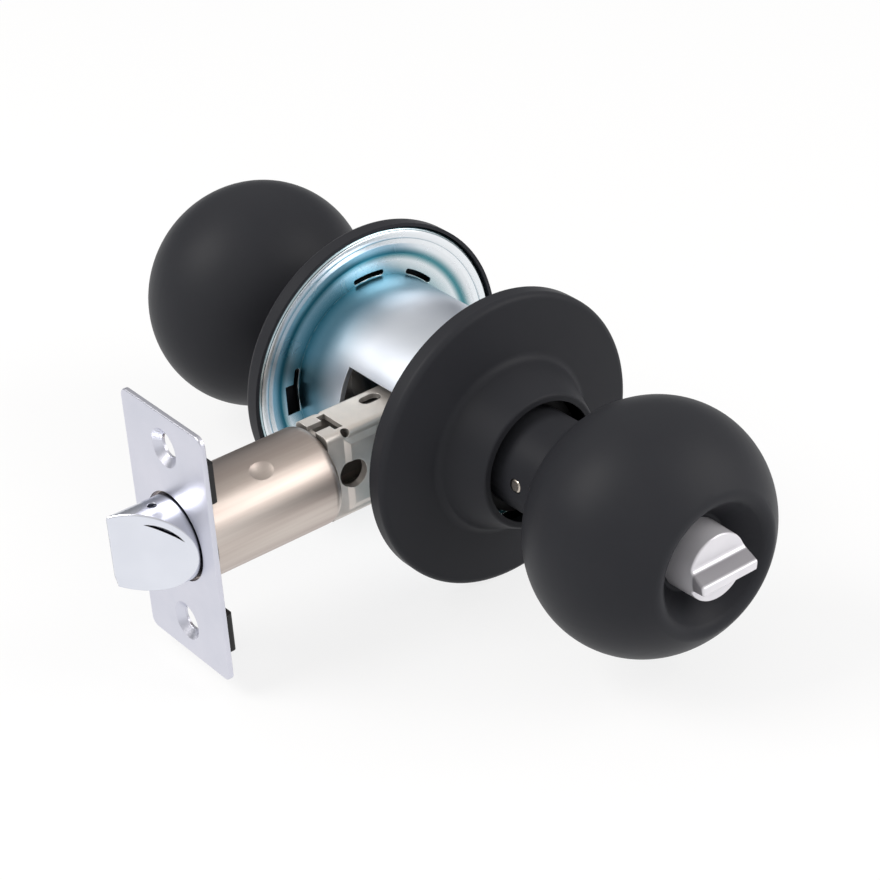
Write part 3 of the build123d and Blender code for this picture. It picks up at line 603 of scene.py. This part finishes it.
# %% Floor
floor_size = 6.0
paper_share = 0.2
paper_colour = (0.85, 0.85, 0.86, 1)
plain_white = (1, 1, 1, 1)

bpy.ops.object.select_all(action="DESELECT")
bpy.ops.mesh.primitive_plane_add(size=floor_size, location=(0, 0, cad_low.z))
floor = bpy.context.object
floor.name = "studio_floor"
paper = bpy.data.materials.new("White paper")
paper.use_nodes = True
tree = paper.node_tree
tree.nodes.remove(tree.nodes["Principled BSDF"])
lit = make_node(tree, "ShaderNodeBsdfDiffuse", {"Color": paper_colour})
white = make_node(tree, "ShaderNodeEmission", {"Color": plain_white, "Strength": 1})
rays = make_node(tree, "ShaderNodeLightPath")
share = make_node(tree, "ShaderNodeMath", {1: 1 - paper_share}, operation="MULTIPLY")
seen = make_node(tree, "ShaderNodeMath", operation="MAXIMUM")
blend = make_node(tree, "ShaderNodeMixShader")
tree.links.new(rays.outputs["Is Camera Ray"], share.inputs[0])
tree.links.new(share.outputs["Value"], seen.inputs[0])
tree.links.new(rays.outputs["Is Glossy Ray"], seen.inputs[1])
tree.links.new(seen.outputs["Value"], blend.inputs["Fac"])
tree.links.new(lit.outputs["BSDF"], blend.inputs[1])
tree.links.new(white.outputs["Emission"], blend.inputs[2])
tree.links.new(blend.outputs["Shader"], tree.nodes["Material Output"].inputs["Surface"])
floor.data.materials.append(paper)
print("floor at", round(1000 * cad_low.z, 2), "mm")

# %% [markdown]
# ## Light
# Two large softboxes stand high, one on the left and a little behind the set, the other on the right
# and in front of it. Each leaves one broad glow on every ball, as a studio picture of a dark round
# thing does. A sun lamp would leave a hard point there. The left one keeps off the line on which the
# round case would mirror it, so that the zinc doesn't go white.


# %% Softboxes
def softbox(name, direction, distance, size, power, colour):
    """A square area lamp that looks at the set from the given direction."""
    lamp = bpy.data.lights.new(name, "AREA")
    lamp.shape = "SQUARE"
    lamp.size = size
    lamp.energy = power
    lamp.color = colour
    holder = bpy.data.objects.new(name, lamp)
    holder.location = direction.normalized() * distance
    holder.rotation_mode = "QUATERNION"
    holder.rotation_quaternion = (-direction).to_track_quat("-Z", "Y")
    bpy.context.scene.collection.objects.link(holder)


softbox(
    "left softbox", direction=Vector((-0.6, 0.3, 0.74)), distance=0.9,
    size=0.5, power=5.5, colour=(1, 0.98, 0.95),
)
softbox(
    "right softbox", direction=Vector((0.6, -0.6, 0.52)), distance=0.9,
    size=0.6, power=4, colour=(1, 0.97, 0.95),
)
print("lamps:", [lamp.name for lamp in bpy.data.lights])

# %% [markdown]
# ## The room round the set
# The world stands for the room. It is pale overhead, light in front of the set and dark low down
# behind it, as a studio is, because polished metal looks like metal only where it mirrors both light
# and dark. The two MapRange nodes turn the direction of a ray into a share of front and of overhead.
# A camera that looks past the floor sees plain white instead.

# %% World
wall_behind = (0.15, 0.16, 0.18, 1)
wall_in_front = (0.82, 0.82, 0.84, 1)
overhead = (0.64, 0.63, 0.61, 1)
front_range = {"From Min": 0.6, "From Max": -0.8}
overhead_range = {"From Min": 0.05, "From Max": 0.8}

world = bpy.data.worlds.new("Studio")
bpy.context.scene.world = world
world.use_nodes = True
tree = world.node_tree
around = make_node(tree, "ShaderNodeTexCoord")
direction = make_node(tree, "ShaderNodeSeparateXYZ")
front = make_node(tree, "ShaderNodeMapRange", front_range)
climb = make_node(tree, "ShaderNodeMapRange", overhead_range)
walls = make_node(tree, "ShaderNodeMix", data_type="RGBA")
walls.inputs["A"].default_value = wall_behind
walls.inputs["B"].default_value = wall_in_front
room = make_node(tree, "ShaderNodeMix", data_type="RGBA")
room.inputs["B"].default_value = overhead
rays = make_node(tree, "ShaderNodeLightPath")
backdrop = make_node(tree, "ShaderNodeMix", data_type="RGBA")
backdrop.inputs["B"].default_value = plain_white
tree.links.new(around.outputs["Generated"], direction.inputs["Vector"])
tree.links.new(direction.outputs["Y"], front.inputs["Value"])
tree.links.new(direction.outputs["Z"], climb.inputs["Value"])
tree.links.new(front.outputs["Result"], walls.inputs["Factor"])
tree.links.new(walls.outputs["Result"], room.inputs["A"])
tree.links.new(climb.outputs["Result"], room.inputs["Factor"])
tree.links.new(room.outputs["Result"], backdrop.inputs["A"])
tree.links.new(rays.outputs["Is Camera Ray"], backdrop.inputs["Factor"])
tree.links.new(backdrop.outputs["Result"], tree.nodes["Background"].inputs["Color"])
print("made the world", world.name)

# %% [markdown]
# ## Camera
# The picture was taken from the left and from above with a long lens, a little tilted. The three
# angles and the distance place the camera round the point where the two axes of the set cross, and a
# small step to the side and down frames it. A Track To constraint could aim the camera too, but it
# has no tilt, so the three axes of the camera are worked out and given as its rotation.

# %% Camera
azimuth = radians(-36.193)
elevation = radians(31.531)
roll = radians(-3.973)
distance = 0.549021
pan_right = -0.003174
pan_up = -0.006392
lens_mm = 105.67
sensor_mm = 36.0
near_clip = 0.01

back = Vector((sin(azimuth) * cos(elevation), -cos(azimuth) * cos(elevation), sin(elevation)))
right = Vector((cos(azimuth), sin(azimuth), 0))
up = back.cross(right)
camera_x = right * cos(roll) + up * sin(roll)
camera_y = up * cos(roll) - right * sin(roll)
camera = bpy.data.objects.new("camera", bpy.data.cameras.new("camera"))
bpy.context.scene.collection.objects.link(camera)
camera.data.lens = lens_mm
camera.data.sensor_width = sensor_mm
camera.data.clip_start = near_clip
camera.rotation_mode = "QUATERNION"
camera.rotation_quaternion = Matrix((camera_x, camera_y, back)).transposed().to_quaternion()
camera.location = back * distance + right * pan_right + up * pan_up
bpy.context.scene.camera = camera
bpy.context.scene.view_settings.view_transform = "Standard"
print("camera at", [round(1000 * side, 1) for side in camera.location], "mm")
